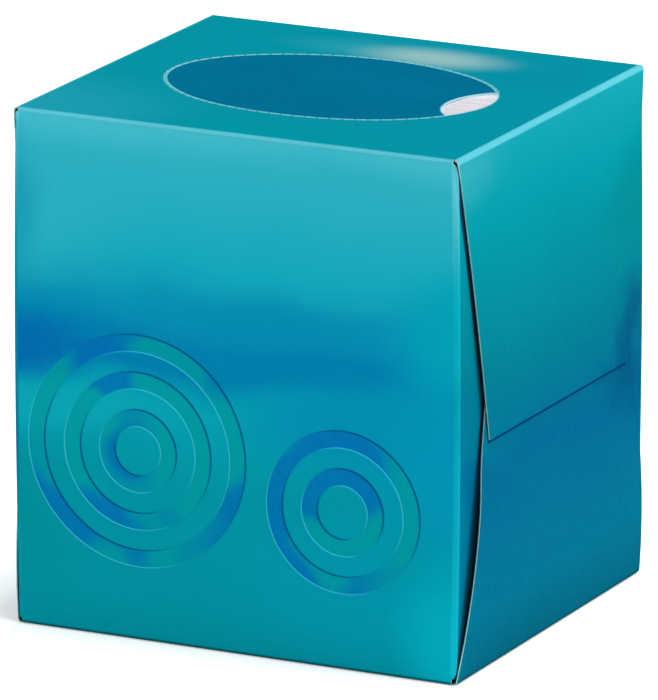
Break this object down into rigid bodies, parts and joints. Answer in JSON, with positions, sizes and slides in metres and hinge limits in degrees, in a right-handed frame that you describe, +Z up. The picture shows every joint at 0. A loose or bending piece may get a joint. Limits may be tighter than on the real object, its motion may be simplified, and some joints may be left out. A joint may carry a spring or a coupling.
{
  "type": "tissue box",
  "caption": "Cube-shaped folded carton of facial tissues with a perforated oval tear-out in its top, a thumb hole at the oval's end, glued end flaps and embossed sides.",
  "frame": {"origin": "centre of the box at its flat bottom panel", "axes": "+Z up through the tear-out, -Y to the front panel, +X to the end closure on the right"},
  "size_m": [0.1196, 0.1024, 0.125],
  "materials": {
    "printed_board": "satin coated print on paperboard",
    "clear_film": "thin clear film",
    "tissue_paper": "soft matt tissue",
    "glue": "dried glue"
  },
  "bodies": {
    "root": {"carton": "printed_board", "dispensing_film": "clear_film", "tissue_stack": "tissue_paper", "seam_glue": "glue", "end_flap_glue": "glue"}
  },
  "joints": []
}
